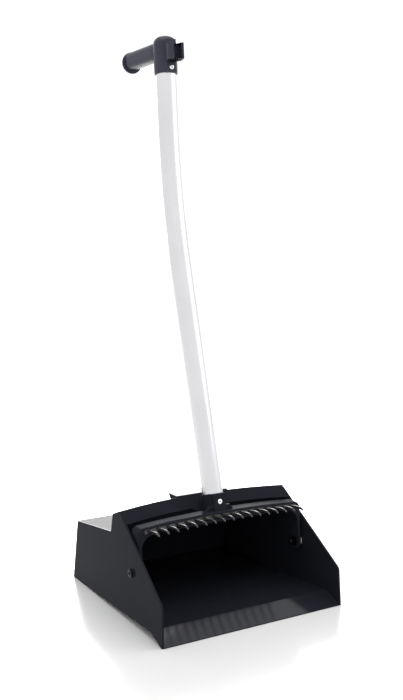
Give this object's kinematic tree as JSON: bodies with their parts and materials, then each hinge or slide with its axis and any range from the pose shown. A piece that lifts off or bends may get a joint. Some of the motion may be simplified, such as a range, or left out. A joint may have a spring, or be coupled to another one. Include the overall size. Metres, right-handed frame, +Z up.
{
  "type": "lobby dustpan",
  "caption": "Upright lobby dustpan: a hooded pan hinged in a yoke with a broom comb, on a bent tube with a pistol grip and broom clip.",
  "frame": {"origin": "on the floor, under the middle of the bounding box", "axes": "+X to the right seen from the mouth, +Y to the rear (the mouth and its lip face -Y), +Z up"},
  "size_m": [0.3056, 0.38, 0.8626],
  "materials": {
    "black_polypropylene": "gloss, lightly moulded texture",
    "comb_polypropylene": "gloss",
    "grip_plastic": "semi-matte",
    "satin_tube": "satin anodised",
    "rivet_aluminium": "bright",
    "mandrel_steel": "plain",
    "black_steel": "black zinc, semi-gloss",
    "zinc_steel": "zinc plated",
    "washer_nylon": "matte"
  },
  "bodies": {
    "pan": {"pan_shell": "black_polypropylene", "left_pivot_bolt": "black_steel", "left_pivot_washer": "washer_nylon", "left_pivot_sleeve": "zinc_steel", "left_pivot_nut": "black_steel", "right_pivot_bolt": "black_steel", "right_pivot_washer": "washer_nylon", "right_pivot_sleeve": "zinc_steel", "right_pivot_nut": "black_steel"},
    "handle": {"yoke": "black_polypropylene", "comb_strip": "comb_polypropylene", "tube": "satin_tube", "lower_rivet": "rivet_aluminium", "lower_rivet_mandrel": "mandrel_steel", "upper_rivet": "rivet_aluminium", "upper_rivet_mandrel": "mandrel_steel", "grip_head": "grip_plastic", "grip_end_cap": "grip_plastic", "broom_clip": "grip_plastic"}
  },
  "joints": [
    {"name": "handle_swing", "type": "hinge", "parent": "pan", "child": "handle", "pos_m": [0, -0.0915, 0.0763], "axis": [1, 0, 0], "range_deg": [0, 95]}
  ]
}
